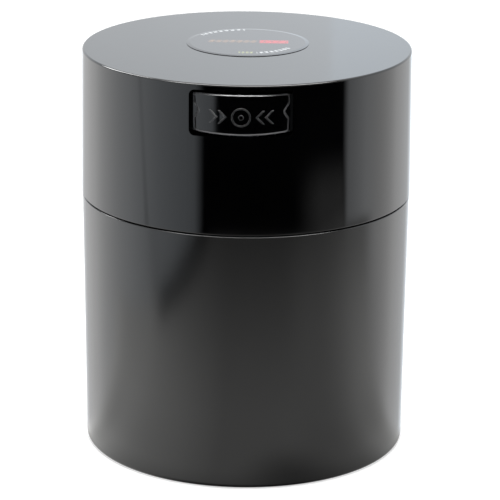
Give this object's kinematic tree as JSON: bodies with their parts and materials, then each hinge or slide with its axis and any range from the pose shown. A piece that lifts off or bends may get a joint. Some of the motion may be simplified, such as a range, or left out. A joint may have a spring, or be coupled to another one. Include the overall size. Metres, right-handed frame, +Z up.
{
  "type": "vacuum coffee canister",
  "caption": "Round black food canister with a tall push-on lid, a push button in the lid's side that opens an air valve, and an inner lid with a seal ring.",
  "frame": {"origin": "centre of the base, on the plane that the canister stands on", "axes": "+Z up along the canister's axis; the push button faces -Y; +X to the right of a viewer who faces the button"},
  "size_m": [0.1216, 0.1214, 0.15],
  "materials": {
    "cup_plastic": "black moulded plastic, fine satin",
    "lid_plastic": "black moulded plastic, high gloss",
    "badge_film": "printed gloss film",
    "insert_plastic": "black moulded plastic, satin",
    "silicone": "translucent white silicone",
    "natural_plastic": "natural white moulded plastic",
    "steel": "drawn stainless wire and screws"
  },
  "bodies": {
    "canister": {"canister_body": "cup_plastic"},
    "lid": {"lid_shell": "lid_plastic", "lid_badge": "badge_film", "lid_insert": "insert_plastic", "seal_ring": "silicone", "vent_screen": "insert_plastic", "valve_housing": "insert_plastic", "housing_screws": "steel", "valve_spring": "steel"},
    "button": {"press_button": "lid_plastic"},
    "valve": {"valve_spindle": "natural_plastic", "valve_washer": "silicone"}
  },
  "joints": [
    {"name": "lid_lift", "type": "slide", "parent": "canister", "child": "lid", "axis": [0, 0, 1], "range_m": [0, 0.07]},
    {"name": "button_press", "type": "slide", "parent": "lid", "child": "button", "axis": [0, 1, 0], "range_m": [0, 0.004], "stiffness_N_per_m": 600, "springref_m": -0.004},
    {"name": "valve_lift", "type": "slide", "parent": "lid", "child": "valve", "axis": [0, 0, 1], "range_m": [0, 0.002], "deforming": ["valve_spring"]}
  ],
  "couplings": [
    {"joint": "valve_lift", "follows": "button_press", "ratio": 0.5}
  ]
}
